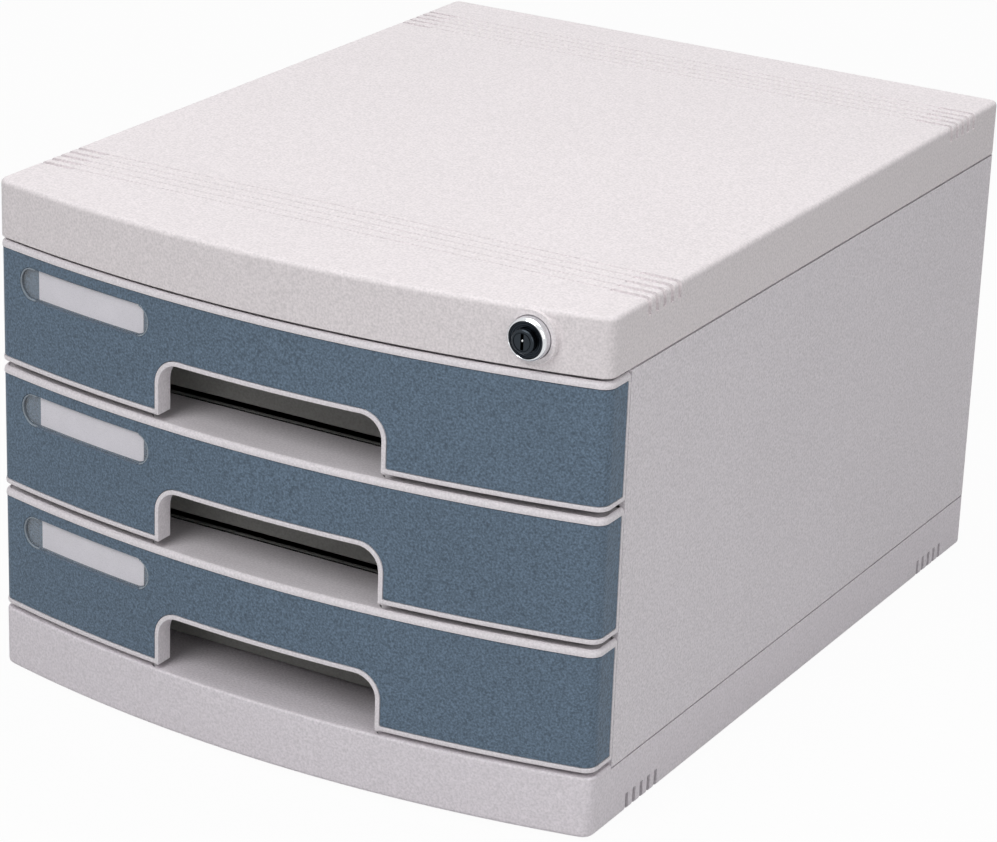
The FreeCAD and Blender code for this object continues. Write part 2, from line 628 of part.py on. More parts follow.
def label_card(number):
    """Paper strip on the pocket's floor; the skirt rounds off its right-hand end."""
    z = drawer_z(number) + LABEL_Z
    inside = 2 * (WINDOW_CLEAR + WINDOW_SKIRT + FASCIA_CLEAR)
    sheet = box(CARD_X - CARD_L / 2, CARD_X + CARD_L / 2, FRONT_Y, at(LABEL_REACH),
                z - CARD_H / 2, z + CARD_H / 2)
    room = stadium(LABEL_X, z, LABEL_L - inside, LABEL_H - inside, FRONT_Y, at(LABEL_REACH))
    sheet = sheet.common(room)
    return sheet.common(shell(LABEL_FLOOR - CARD_T, LABEL_FLOOR, FRAME_REAR_Y, z - LABEL_H, z + LABEL_H))


def tray_edges(solid, z):
    """Upright edges and those at height z."""
    chosen = []
    for edge in solid.Edges:
        bound = edge.BoundBox
        upright = bound.XLength < TOUCH and bound.YLength < TOUCH
        if upright or (abs(bound.ZMin - z) < TOUCH and abs(bound.ZMax - z) < TOUCH):
            chosen.append(edge)
    return chosen


def tray(number):
    z0 = drawer_z(number) + TRAY_LIFT
    z1 = drawer_z(number) + FRONT_HEIGHT - TRAY_DROP
    wall_top = drawer_z(number) + FRONT_HEIGHT - SNUG
    body = box(-TRAY_HALF, TRAY_HALF, FRAME_REAR_Y, TRAY_REAR_Y, z0, z1)
    body = body.makeFillet(TRAY_LOW_R, tray_edges(body, z0))
    inner_half = TRAY_HALF - TRAY_WALL
    inner = box(-inner_half, inner_half, FRAME_REAR_Y + TRAY_WALL, TRAY_REAR_Y - TRAY_WALL,
                z0 + TRAY_WALL, wall_top + EDGE + TRAY_R)
    inner = inner.makeFillet(TRAY_R, tray_edges(inner, z0 + TRAY_WALL))
    parts = [body, box(-TRAY_HALF, TRAY_HALF, FRAME_REAR_Y, FRAME_REAR_Y + TRAY_TAB_T, z1 - EDGE, wall_top)]
    for side in (-1, 1):
        rim_out = TRAY_HALF + TRAY_RIM_W
        parts.append(mirrored_box(side, inner_half, rim_out, FRAME_REAR_Y + TRAY_WALL, TRAY_REAR_Y,
                                  z1 - TRAY_RIM_T, z1))
    body = fused(parts).cut(inner)
    holes = [rod_y(x, drawer_z(number) + FRONT_SCREW_Z, CLEARANCE_R, FRAME_REAR_Y - EDGE,
                   FRAME_REAR_Y + TRAY_WALL + EDGE) for x in (-FRONT_SCREW_X, FRONT_SCREW_X)]
    return body.cut(holes)


def stop_clips(number):
    """Stops bonded under the tray's rims, fitted once the tray is in its bay."""
    top = drawer_z(number) + FRONT_HEIGHT - TRAY_DROP - TRAY_RIM_T
    return Part.makeCompound([mirrored_box(side, TRAY_HALF, PANEL_INNER - CLIP_GAP, CLIP_FRONT_Y,
                                           CLIP_FRONT_Y + STOP_W, top - STOP_H, top)
                              for side in (-1, 1)])


def lock_keeper(number):
    """Block on the tray's side that the locking bar's hook drops in front of."""
    low = drawer_z(number) + KEEPER_Z
    front = at(BAR_FRONT + BAR_W + 2 * CLEAR)
    return box(TRAY_HALF, BAR_X - CLEAR, front, front + STOP_W, low, low + KEEPER_H)


def front_screws(number):
    """Screws from inside the tray into the bosses of the front frame."""
    inside = FRAME_REAR_Y + TRAY_WALL
    z = drawer_z(number) + FRONT_SCREW_Z
    screws = []
    for x in (-FRONT_SCREW_X, FRONT_SCREW_X):
        head = rod_y(x, z, HEAD_R, inside, inside + HEAD_T)
        screws.append(fused([head, rod_y(x, z, SCREW_R, at(FRONT_SCREW_TIP), inside + EDGE)]))
    return Part.makeCompound(screws)


# ---- lock ----

def front_rim(solid, y):
    """The edges that lie wholly at this Y."""
    return [edge for edge in solid.Edges if abs(edge.BoundBox.YMax - y) < TOUCH]


def lock_housing():
    """Barrel with a round bezel; the bezel's face is dished round the plug."""
    head = rod_y(LOCK_X, LOCK_Z, LOCK_HEAD_R, at(LOCK_FACE), at(LOCK_SEAT))
    head = head.makeFillet(LOCK_RIM_R, front_rim(head, at(LOCK_FACE)))
    barrel = rod_y(LOCK_X, LOCK_Z, LOCK_BARREL_R, at(LOCK_SEAT) - EDGE, at(LOCK_BARREL_REAR))
    dish = rod_y(LOCK_X, LOCK_Z, LOCK_FACE_R - LOCK_DISH_RIM, at(LOCK_FACE) - EDGE,
                 at(LOCK_FACE) + LOCK_DISH)
    bore = rod_y(LOCK_X, LOCK_Z, PLUG_R + PLUG_GAP, at(LOCK_FACE) - EDGE, at(LOCK_BARREL_REAR) + EDGE)
    return fused([head, barrel]).cut([dish, bore])


def lock_plug():
    body = rod_y(LOCK_X, LOCK_Z, PLUG_R, at(PLUG_FACE), at(LOCK_BARREL_REAR))
    body = body.makeFillet(PLUG_EDGE_R, front_rim(body, at(PLUG_FACE)))
    tail = box(LOCK_X - TAIL_HALF, LOCK_X + TAIL_HALF, at(LOCK_BARREL_REAR) - EDGE,
               at(PLUG_TAIL) - TAIL_SHORT, LOCK_Z - TAIL_HALF, LOCK_Z + TAIL_HALF)
    keyway = box(LOCK_X - KEYWAY_HALF_W, LOCK_X + KEYWAY_HALF_W, at(PLUG_FACE) - EDGE,
                 at(PLUG_FACE) + KEYWAY_DEPTH, LOCK_Z - KEYWAY_HALF_H, LOCK_Z + KEYWAY_HALF_H)
    screw_hole = rod_y(LOCK_X, LOCK_Z, PILOT_R, at(LOCK_BARREL_REAR) - PLUG_SCREW_L,
                       at(PLUG_TAIL) + EDGE)
    return fused([body, tail]).cut([keyway, screw_hole])


def cam_pin_offset():
    return CAM_THROW * math.sin(math.radians(CAM_REST_ANGLE))


def lock_cam():
    """Plate on the plug's square tail, with a pin that works the locking bar."""
    step = cam_pin_offset()
    front = at(CAM_FRONT)
    rear = front + CAM_T
    hole = TAIL_HALF + CAM_SQUARE_GAP
    hub = rod_y(LOCK_X, LOCK_Z, CAM_HUB_R, front, rear)
    arm = box(LOCK_X, LOCK_X + CAM_THROW, front, rear, LOCK_Z - CAM_TIP_R, LOCK_Z + CAM_TIP_R)
    arm.rotate(vec(LOCK_X, 0, LOCK_Z), vec(0, 1, 0), -CAM_REST_ANGLE)
    tip = rod_y(LOCK_X + step, LOCK_Z + step, CAM_TIP_R, front, rear)
    pin = rod_y(LOCK_X + step, LOCK_Z + step, CAM_PIN_R, rear - EDGE,
                at(BAR_FRONT + BAR_T + CAM_PIN_PROUD))
    square = box(LOCK_X - hole, LOCK_X + hole, front - EDGE, rear + EDGE, LOCK_Z - hole, LOCK_Z + hole)
    return fused([hub, arm, tip, pin]).cut(square)


def lock_cam_screw():
    rear = at(CAM_FRONT) + CAM_T
    head = rod_y(LOCK_X, LOCK_Z, CAM_SCREW_HEAD_R, rear, rear + CAM_SCREW_HEAD_T)
    return fused([head, rod_y(LOCK_X, LOCK_Z, SCREW_R, at(LOCK_BARREL_REAR) - CAM_SCREW_L, rear + EDGE)])


def lock_nut():
    """Hexagonal nut that clamps the housing to the cover's front wall."""
    front = at(LOCK_SEAT) + LOCK_PAD_T
    rear = front + LOCK_NUT_T
    points = [vec(LOCK_X + LOCK_NUT_R * math.cos(i * math.pi / 3), front,
                  LOCK_Z + LOCK_NUT_R * math.sin(i * math.pi / 3)) for i in range(7)]
    body = Part.Face(Part.makePolygon(points)).extrude(vec(0, LOCK_NUT_T, 0))
    return body.cut(rod_y(LOCK_X, LOCK_Z, LOCK_BARREL_R + NUT_GAP, front - EDGE, rear + EDGE))


def locking_bar():
    """Steel strip with a bent arm over the cam pin."""
    step = cam_pin_offset()
    slot_z = LOCK_Z + step
    low = slot_z - ARM_HEIGHT / 2
    top = slot_z + ARM_HEIGHT / 2
    strip = box(BAR_X, BAR_X + BAR_T, at(BAR_FRONT), at(BAR_FRONT + BAR_W), BAR_LOW_Z, top)
    arm = box(LOCK_X - ARM_PAST_AXIS, BAR_X + BAR_T, at(BAR_FRONT), at(BAR_FRONT + BAR_T), low, top)
    slot_x = LOCK_X + (step + CAM_THROW) / 2
    slot_height = 2 * (CAM_PIN_R + PIN_SLOT_GAP)
    slot_length = CAM_THROW - step + slot_height
    slot = stadium(slot_x, slot_z, slot_length, slot_height, at(BAR_FRONT) - EDGE,
                   at(BAR_FRONT + BAR_T) + EDGE)
    return fused([strip, arm]).cut(slot)


def locking_hooks():
    """A tab welded to the strip's inner face for each drawer."""
    hooks = []
    for number in range(1, DRAWER_COUNT + 1):
        z0 = drawer_z(number) + HOOK_Z
        hooks.append(box(BAR_X - HOOK_REACH, BAR_X, at(BAR_FRONT + BAR_W - HOOK_T),
                         at(BAR_FRONT + BAR_W), z0, z0 + HOOK_H))
    return Part.makeCompound(hooks)


def build():
    os.makedirs("parts", exist_ok=True)
    save("top_cover", top_cover())
    save("base", base())
    save("left_side_panel", side_panel(-1))
    save("right_side_panel", side_panel(1))
    save("back_panel", back_panel())
    save("rubber_feet", rubber_feet())
    save("cover_screws", cover_screws())
    save("base_screws", base_screws())
    for number in range(1, DRAWER_COUNT + 1):
        name = f"drawer_{number}_"
        save(name + "tray", tray(number))
        save(name + "front_frame", front_frame(number))
        save(name + "fascia", fascia(number))
        save(name + "label_window", label_window(number))
        save(name + "label_card", label_card(number))
        save(name + "front_screws", front_screws(number))
        save(name + "stop_clips", stop_clips(number))
        save(name + "lock_keeper", lock_keeper(number))
    save("lock_housing", lock_housing())
    save("lock_plug", lock_plug())
    save("lock_cam", lock_cam())
    save("lock_cam_screw", lock_cam_screw())
    save("lock_nut", lock_nut())
    save("locking_bar", locking_bar())
    save("locking_bar_hooks", locking_hooks())


build()
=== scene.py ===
import math

import bmesh
import bpy
from mathutils import Matrix, Vector


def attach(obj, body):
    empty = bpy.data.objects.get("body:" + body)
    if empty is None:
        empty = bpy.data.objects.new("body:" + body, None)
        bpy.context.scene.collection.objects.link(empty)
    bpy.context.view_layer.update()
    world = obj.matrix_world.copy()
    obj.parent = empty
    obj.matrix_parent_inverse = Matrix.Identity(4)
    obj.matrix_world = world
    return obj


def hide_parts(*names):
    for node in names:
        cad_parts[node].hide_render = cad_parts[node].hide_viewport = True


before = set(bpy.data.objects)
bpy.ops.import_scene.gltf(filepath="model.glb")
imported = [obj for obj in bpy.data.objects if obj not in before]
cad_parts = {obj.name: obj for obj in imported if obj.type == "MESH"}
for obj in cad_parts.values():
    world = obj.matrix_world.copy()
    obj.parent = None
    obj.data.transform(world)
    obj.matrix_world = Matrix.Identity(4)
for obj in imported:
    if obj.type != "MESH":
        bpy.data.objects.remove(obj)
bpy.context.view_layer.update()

# Desktop file drawer: bowed plastic cabinet, three drawers with slate-blue
# fascias, a label window on each and a cam lock in the cover. Pieces are
# modelled in millimetres, in the cabinet's own frame, and scaled once at the end.

MM = 0.001

# ---- cabinet ----
HALF = 150.0
FRONT_Y = -197.5
BACK_Y = 197.5
BOW = 18.0                # how far the front bulges past its two corners
SHOULDER_Y = FRONT_Y + BOW
CORNER_R = 6.0            # upright front corners
BACK_R = 4.0              # upright back corners
SHARP_R = 0.02            # corners that stay sharp
BOW_R = (HALF ** 2 + BOW ** 2) / (2 * BOW)
BOW_CENTRE_Y = FRONT_Y + BOW_R
CORNER_X = HALF - CORNER_R
CORNER_Y = BOW_CENTRE_Y - math.sqrt((BOW_R - CORNER_R) ** 2 - CORNER_X ** 2)
JOIN_ANGLE = math.atan2(CORNER_Y - BOW_CENTRE_Y, CORNER_X)
BASE_LOW_Z = 1.5
BASE_DECK_Z = 29.1
COVER_Z = 202.7
TOP_Z = 228.5
WALL = 2.8                # cover and base wall
PANEL_LOW_Z = 27.7
PANEL_FRONT_Y = -162.6
PANEL_BACK_Y = 195
PANEL_SEAT_X = 146.8      # inner side of the rebate that takes a side panel
BACK_SEAT_Y = 194.1       # front side of the rebate that takes the back panel
CLEAR = 0.4
SEAM = 0.75               # dark line between side panel and base

# ---- cover ----
COVER_EDGE_R = 2.4
COVER_LOW_R = 0.6
EAR_TOP_Z = 202.55        # top of the side panels' screw ears
COVER_SCREWS = [(x, SHOULDER_Y + d) for x in (-141.5, 141.5) for d in (46, 346)]
BOSS_R = 4.5
PILOT_R = 1.55
PILOT_DEPTH = 9

# ---- base ----
BASE_DECK_R = 1.2
BASE_LOW_R = 2.0
RIB_LOW_Z = 23.3
RIB_TOP_Z = 28
RIB_HALF = 1              # half a rib's thickness
RIB_END = 1               # ribs end in the wall, this far from its outside
RIB_XS = (-60, 60)
RIB_YS = [SHOULDER_Y + d for d in (125, 250)]
FEET = [(x, SHOULDER_Y + d) for x in (-122, 122) for d in (32, 345)]
FOOT_BOSS_R = 11.0
FOOT_SEAT_R = 8.1
FOOT_SEAT_Z = 2.7
BASE_SCREWS = [(x, SHOULDER_Y + d) for x in (-143.8, 143.8) for d in (62, 330)]
BASE_SCREW_R = 1.7
BASE_SCREW_TOP_Z = 31

# ---- grooved corners ----
GROOVE_PLACES = [29.5 + 6.3 * i for i in range(5)]
GROOVE_W = 2.6
GROOVE_DEPTH = 1.8
GROOVE_START = 0.9        # depth at the inner end on the cover's top
GROOVE_DROP = 7.3         # down the cover's side
GROOVE_RUN = 18.0         # in over the cover's top
GROOVE_TURN_R = 2.6
SLOT_SHIFT = 2.5          # the base's slots stand this much farther back
SLOT_INNER_X = HALF - WALL - 1
SLOT_TOP_Z = 9.8
FINE_INSET = 17           # ends of the fine lines across the cover's top
FINE_HALF = 0.4
FINE_DEPTH = 0.25

# ---- drawer fronts ----
DRAWERS = (1, 2, 3)
PITCH = 57.6
LOWEST_Z = 31.2
FRONT_HEIGHT = 55.1
FRAME_REAR_Y = -163.0
FRAME_TOP_R = 2.2
FRAME_LOW_R = 0.8
FRAME_TOP_T = 2.1
FRAME_SKIN = 3.4
RIM_TOP = 3.2             # white edge above the blue fascia
RIM_BOTTOM = 2.2
RIM_SIDE = 1.4
RIM_STEP_SET = 1.8        # the frame's top steps down this far behind the rim
RIM_STEP = 0.9
FRAME_SPARE = 20          # drawn this much deeper and sawn off, so that its rear is flat
FASCIA_SET = 0.35         # fascia face below the rim
FASCIA_BACK = 1.95
FASCIA_FLOOR = 2.0        # floor of the pocket in the frame
FASCIA_GAP = 0.3
GRIP_HALF = 55.0          # finger cutout
GRIP_HEIGHT = 24.0
GRIP_R = 10.0
GRIP_RIM = 2.0
GRIP_WALL = 9.0           # how far the cutout's rim runs back
GRIP_OVER = 3
WALL_SET = 0.02           # keeps the rim's wall out of the frame's own face
WALL_LIFT = 0.05

# ---- labels ----
LABEL_X = -98.7
LABEL_Z = 39.3
LABEL_L = 76.2
LABEL_H = 15.0
CUP_RIM = 2.4             # the fascia's cup is this much longer and higher than the lens
CUP_HOLE_RIM = 2.8        # the hole for it in the frame
CUP_HOLE_STOP = 8
CUP_SET = 1.0
CUP_BACK = 3.6
CUP_FLOOR = 2.6
# painted highlight: a pale ring inside the ends of each label lens stands for the light that gathers in
# the lens's edge
LENS_GLOW_SET = 0.62
LENS_GLOW_BACK = 1.3
LENS_GLOW_OUT = 0.5       # outline of the painted lens glow inside the cup
LENS_GLOW_IN = 1.4
LENS_GLOW_GAP = (LABEL_X - 28.5, LABEL_X + 32.5)
LENS_GLOW_REACH = 12
LENS_GLOW_REAR = 8

# ---- lock ----
LOCK_X = 117.4
LOCK_Z = 216.0
LOCK_PAD = [(0, -187), (11.4, -187), (11.4, -181.2), (0, -181.2)]
LOCK_BORE = [(0, -199), (9.2, -199), (9.2, -185.1), (7.1, -185.1), (7.1, -166), (0, -166)]
TAIL_HALF = 2.5           # the plug's square tail
TAIL_YS = (-168, -164.6)
KEYWAY_HALF_W = 0.7
KEYWAY_HALF_H = 3.4
KEYWAY_YS = (-196, -181.8)
PIN_LIFT = 0.5

# ---- small rounds along sharp edges ----
MOULD_EDGE = 0.25
FRAME_EDGE = 0.30
FASCIA_EDGE = 0.18
PANEL_EDGE = 0.2
LENS_ROUND = 0.12
STEEL_EDGE = 0.15
CAM_EDGE = 0.1
CLIP_EDGE = 0.3

# ---- how curves are drawn and tools overshoot ----
BOW_STEPS = 76
CORNER_STEPS = 10
BACK_STEPS = 6
TOP_EDGE_STEPS = 6
LOW_EDGE_STEPS = 3
ARCH_STEPS = 8
GROOVE_TURN_STEPS = 5
SOFT_STEPS = 2
STADIUM_SIDES = 40
COLUMN_SIDES = 48
LATHE_STEPS = 72
PIN_STEPS = 24
FACET_REACH = 0.003       # facets of a CAD piece
FACET_FLAT = 0.4
CUT_REACH = 0.004         # slivers that a cut leaves
CUT_FLAT = 0.2
SHARP_ANGLE = math.radians(40)
CREASE_ANGLE = math.radians(38)
SAME = 1e-3               # lengths this close count as the same
TOUCH = 1e-4              # points this close are one point
OVER = 2                  # a cutting tool's reach past the piece
FAR = 4                   # the same for a tool that another tool is cut from


# ---- mesh tools ----

def arc(bm, vert, centre, angle, steps):
    """Carry a vertex round an upright axis, leaving edges; gives the last vertex."""
    made = bmesh.ops.spin(bm, geom=[vert], cent=(*centre, vert.co.z), axis=(0, 0, 1), dvec=(0, 0, 0),
                          angle=angle, steps=steps, use_merge=False, use_duplicate=False)
    return made["geom_last"][0]


def run(bm, vert, x, y):
    """A straight edge to the next corner of a plan."""
    end = bm.verts.new((x, y, vert.co.z))
    bm.edges.new((vert, end))
    return end


def level_edges(bm, z):
    return [e for e in bm.edges if all(abs(v.co.z - z) < SAME for v in e.verts)]


def rounded(bm, parts, radius, steps, affect="EDGES"):
    bmesh.ops.bevel(bm, geom=parts, offset=radius, offset_type="OFFSET", segments=steps, profile=0.5,
                    affect=affect, clamp_overlap=False, material=-1)
    return bm


def drawn_out(bm, step):
    """Give flat faces a thickness by carrying a copy of them along."""
    made = bmesh.ops.extrude_face_region(bm, geom=bm.faces[:])
    far = [g for g in made["geom"] if isinstance(g, bmesh.types.BMVert)]
    bmesh.ops.translate(bm, vec=step, verts=far)
    bmesh.ops.recalc_face_normals(bm, faces=bm.faces)
    return bm


def trimmed(bm, y):
    """Saw off what lies behind y and close the cut."""
    sawn = bmesh.ops.bisect_plane(bm, geom=bm.verts[:] + bm.edges[:] + bm.faces[:], dist=TOUCH,
                                  plane_co=(0, y, 0), plane_no=(0, 1, 0), clear_outer=True)
    rim = [g for g in sawn["geom_cut"] if isinstance(g, bmesh.types.BMEdge)]
    bmesh.ops.holes_fill(bm, edges=rim, sides=0)
    return bm


def plan_prism(inset, rear_y, z0, z1, top_r=0.0, low_r=0.0, rear_r=SHARP_R):
    """The cabinet's plan, drawn in by an inset, as an upright slab with rounded rims."""
    bm = bmesh.new()
    side_x = HALF - inset
    first = bm.verts.new((side_x, CORNER_Y, z0))
    vert = arc(bm, first, (CORNER_X, CORNER_Y), JOIN_ANGLE, CORNER_STEPS)
    vert = arc(bm, vert, (0, BOW_CENTRE_Y), -math.pi - 2 * JOIN_ANGLE, BOW_STEPS)
    vert = arc(bm, vert, (-CORNER_X, CORNER_Y), JOIN_ANGLE, CORNER_STEPS)
    vert = run(bm, vert, -side_x, rear_y - rear_r)
    vert = arc(bm, vert, (-side_x + rear_r, rear_y - rear_r), -math.pi / 2, BACK_STEPS)
    vert = run(bm, vert, side_x - rear_r, rear_y)
    vert = arc(bm, vert, (side_x - rear_r, rear_y - rear_r), -math.pi / 2, BACK_STEPS)
    bm.edges.new((vert, first))
    bmesh.ops.contextual_create(bm, geom=bm.edges[:])
    drawn_out(bm, (0, 0, z1 - z0))
    if top_r:
        rounded(bm, level_edges(bm, z1), top_r, TOP_EDGE_STEPS)
    if low_r:
        rounded(bm, level_edges(bm, z0), low_r, LOW_EDGE_STEPS)
    return bm


def block(x0, x1, y0, y1, z0, z1):
    """An upright box between two places on each axis."""
    bm = bmesh.new()
    middle = Vector((x0 + x1, y0 + y1, z0 + z1)) / 2
    size = Matrix.Diagonal((x1 - x0, y1 - y0, z1 - z0, 1))
    bmesh.ops.create_cube(bm, size=1.0, matrix=Matrix.Translation(middle) @ size)
    return bm


def arch(half, z0, z1, radius, y0, y1):
    """A bar along Y with two round upper corners."""
    bm = block(-half, half, y0, y1, z0, z1)
    upper = [e for e in level_edges(bm, z1) if abs(e.verts[0].co.x - e.verts[1].co.x) < SAME]
    return rounded(bm, upper, radius, ARCH_STEPS)


def stadium(x, z, length, height, y0, y1):
    """A bar along Y whose section has round ends."""
    bm = bmesh.new()
    turn = Matrix.Rotation(math.pi / 2, 4, "X")
    bmesh.ops.create_circle(bm, cap_ends=True, radius=height / 2, segments=STADIUM_SIDES, matrix=turn)
    reach = (length - height) / 2
    for sign in (-1, 1):
        end = [v for v in bm.verts if v.co.x * sign > TOUCH]
        bmesh.ops.translate(bm, vec=(sign * reach, 0, 0), verts=end)
    drawn_out(bm, (0, y1 - y0, 0))
    bmesh.ops.translate(bm, vec=(x, y0, z), verts=bm.verts)
    return bm


def turned(x, z, profile, steps=LATHE_STEPS):
    """A lathe shape about an axis along Y; the profile lists radius and Y."""
    bm = bmesh.new()
    verts = [bm.verts.new((x + radius, y, z)) for radius, y in profile]
    edges = [bm.edges.new(pair) for pair in zip(verts, verts[1:])]
    bmesh.ops.spin(bm, geom=verts + edges, cent=(x, 0, z), axis=(0, 1, 0), dvec=(0, 0, 0),
                   angle=2 * math.pi, steps=steps, use_merge=True, use_duplicate=False)
    bmesh.ops.remove_doubles(bm, verts=bm.verts, dist=TOUCH)
    bmesh.ops.recalc_face_normals(bm, faces=bm.faces)
    return bm


def column(x, y, radius, z0, z1):
    """An upright cylinder."""
    bm = bmesh.new()
    middle = Matrix.Translation((x, y, (z0 + z1) / 2))
    bmesh.ops.create_cone(bm, cap_ends=True, segments=COLUMN_SIDES, radius1=radius, radius2=radius,
                          depth=z1 - z0, matrix=middle)
    return bm


def joined(forms):
    """Several forms that don't touch, as one."""
    whole = bmesh.new()
    for form in forms:
        held = bpy.data.meshes.new("held")
        form.to_mesh(held)
        form.free()
        whole.from_mesh(held)
        bpy.data.meshes.remove(held)
    return whole


def as_object(name, bm):
    mesh = bpy.data.meshes.new(name)
    bm.to_mesh(mesh)
    bm.free()
    made = bpy.data.objects.new(name, mesh)
    bpy.context.scene.collection.objects.link(made)
    return made


def worked(bm, operation, tools):
    """Cut tools from a form, add them to it, or keep what it shares with them."""
    body = as_object("work", bm)
    held = as_object("tool", joined(tools))
    step = body.modifiers.new("step", "BOOLEAN")
    step.operation = operation
    step.object = held
    step.solver = "EXACT"
    mesh = bpy.data.meshes.new_from_object(body.evaluated_get(bpy.context.evaluated_depsgraph_get()))
    result = bmesh.new()
    result.from_mesh(mesh)
    for spent in (body, held):
        old = spent.data
        bpy.data.objects.remove(spent)
        bpy.data.meshes.remove(old)
    bpy.data.meshes.remove(mesh)
    return result


def cut(bm, *tools):
    return worked(bm, "DIFFERENCE", tools)


def added(bm, *tools):
    return worked(bm, "UNION", tools)


def shared(bm, tool):
    return worked(bm, "INTERSECT", [tool])


def mirrored(bm):
    """The same form on the other side of the cabinet."""
    bmesh.ops.scale(bm, vec=(-1, 1, 1), verts=bm.verts)
    bmesh.ops.reverse_faces(bm, faces=bm.faces)
    return bm


def joined_up(bm, reach, flat_degrees):
    """Merge points closer than a reach, then the faces that lie flat together."""
    bmesh.ops.remove_doubles(bm, verts=bm.verts, dist=reach)
    bmesh.ops.dissolve_limit(bm, angle_limit=math.radians(flat_degrees), verts=bm.verts, edges=bm.edges,
                             use_dissolve_boundaries=False, delimit=set())
    return bm


def cad_form(node):
    """A CAD piece's own shape, its loose facets joined up."""
    bm = bmesh.new()
    bm.from_mesh(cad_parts[node].data)
    bmesh.ops.scale(bm, vec=(1 / MM,) * 3, verts=bm.verts)
    return joined_up(bm, FACET_REACH, FACET_FLAT)


def softened(bm, width):
    """Break every sharp edge by a small round, as a mould or a press leaves it."""
    joined_up(bm, CUT_REACH, CUT_FLAT)
    sharp = [e for e in bm.edges if e.is_manifold and e.calc_face_angle() > SHARP_ANGLE]
    return rounded(bm, sharp, width, SOFT_STEPS)


def place(name, bm, finish, body, node):
    """Put a finished form in the scene in metres, riding on its body, for a CAD node."""
    bmesh.ops.scale(bm, vec=(MM,) * 3, verts=bm.verts)
    piece = as_object(name, bm)
    piece.data.shade_smooth()
    piece.data.set_sharp_from_angle(angle=CREASE_ANGLE)
    piece.data.materials.append(finish)
    normals = piece.modifiers.new("even_shading", "WEIGHTED_NORMAL")
    normals.keep_sharp = True
    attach(piece, body)
    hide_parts(node)


# ---- surface finishes ----

class Value:
    """A number that varies over a surface; arithmetic on it adds Math nodes."""

    def __init__(self, tree, socket):
        self.tree = tree
        self.socket = socket

    def joined_by(self, operation, a, b):
        made = self.tree.node("ShaderNodeMath", {"operation": operation}, {0: a, 1: b})
        return Value(self.tree, made.outputs[0])

    def __add__(self, other):
        return self.joined_by("ADD", self, other)

    def __sub__(self, other):
        return self.joined_by("SUBTRACT", self, other)

    def __rsub__(self, other):
        return self.joined_by("SUBTRACT", other, self)

    def at_least(self, other):
        return self.joined_by("MAXIMUM", self, other)

    def __mul__(self, other):
        return self.joined_by("MULTIPLY", self, other)

    __radd__ = __add__
    __rmul__ = __mul__


class NodeTree:
    """The nodes of a material or of the world."""

    def __init__(self, owner):
        owner.use_nodes = True
        self.tree = owner.node_tree

    def node(self, kind, settings=None, inputs=None):
        """A new node: its settings first, then the values or links of its sockets."""
        made = self.tree.nodes.new(kind)
        for key, value in (settings or {}).items():
            setattr(made, key, value)
        for key, value in (inputs or {}).items():
            self.feed(made.inputs[key], value)
        return made

    def feed(self, socket, value):
        if isinstance(value, Value):
            value = value.socket
        if isinstance(value, bpy.types.NodeSocket):
            self.tree.links.new(value, socket)
        else:
            socket.default_value = value

    def white_rays(self, *kinds):
        """1 for the kinds of ray that should see plain white, 0 for the others."""
        rays = self.node("ShaderNodeLightPath").outputs
        strongest = Value(self, rays[kinds[0]])
        for kind in kinds[1:]:
            strongest = strongest.at_least(rays[kind])
        return strongest


class Finish(NodeTree):
    """One material: a Principled shader and the nodes that vary it."""

    def __init__(self, name, colour, roughness, **fixed):
        self.material = bpy.data.materials.new(name)
        super().__init__(self.material)
        self.shader = self.tree.nodes["Principled BSDF"]
        self.set(Base_Color=(*colour, 1), Roughness=roughness, **fixed)
        self.places = self.node("ShaderNodeTexCoord").outputs["Object"]

    def set(self, **values):
        for name, value in values.items():
            self.feed(self.shader.inputs[name.replace("_", " ")], value)

    def stretched(self, x, y, z):
        """Object coordinates drawn out or closed up along each axis."""
        return self.node("ShaderNodeMapping", None, {"Vector": self.places, "Scale": (x, y, z)}).outputs[0]

    def noise(self, size_mm, detail, places=None):
        """Clouds of about a size."""
        made = self.node("ShaderNodeTexNoise", None, {
            "Vector": places or self.places, "Scale": 1 / (size_mm * MM), "Detail": detail})
        return Value(self, made.outputs["Fac"])

    def cells(self, size_mm):
        """Pits of about a size, shallow at their middles."""
        made = self.node("ShaderNodeTexVoronoi", {"feature": "F1"}, {
            "Vector": self.places, "Scale": 1 / (size_mm * MM)})
        return Value(self, made.outputs["Distance"])

    def ramp(self, value, low, high):
        """Steer a value: 0 below low, 1 above high."""
        made = self.node("ShaderNodeMapRange", {"clamp": True}, {
            "Value": value, "From Min": low, "From Max": high, "To Min": 0.0, "To Max": 1.0})
        return Value(self, made.outputs[0])

    def blend(self, share, first, second):
        """A colour between two: the first at a share of 0, the second at 1."""
        made = self.node("ShaderNodeMix", {"data_type": "RGBA"}, {0: share, 6: first, 7: second})
        return made.outputs[2]

    def relief(self, height, depth_mm):
        """Raise the surface by a height of up to 1 times a depth."""
        made = self.node("ShaderNodeBump", None, {
            "Height": height, "Distance": depth_mm * MM, "Strength": 1.0})
        self.set(Normal=made.outputs[0])


def shade(colour, factor):
    return (*(min(1.0, c * factor) for c in colour), 1)


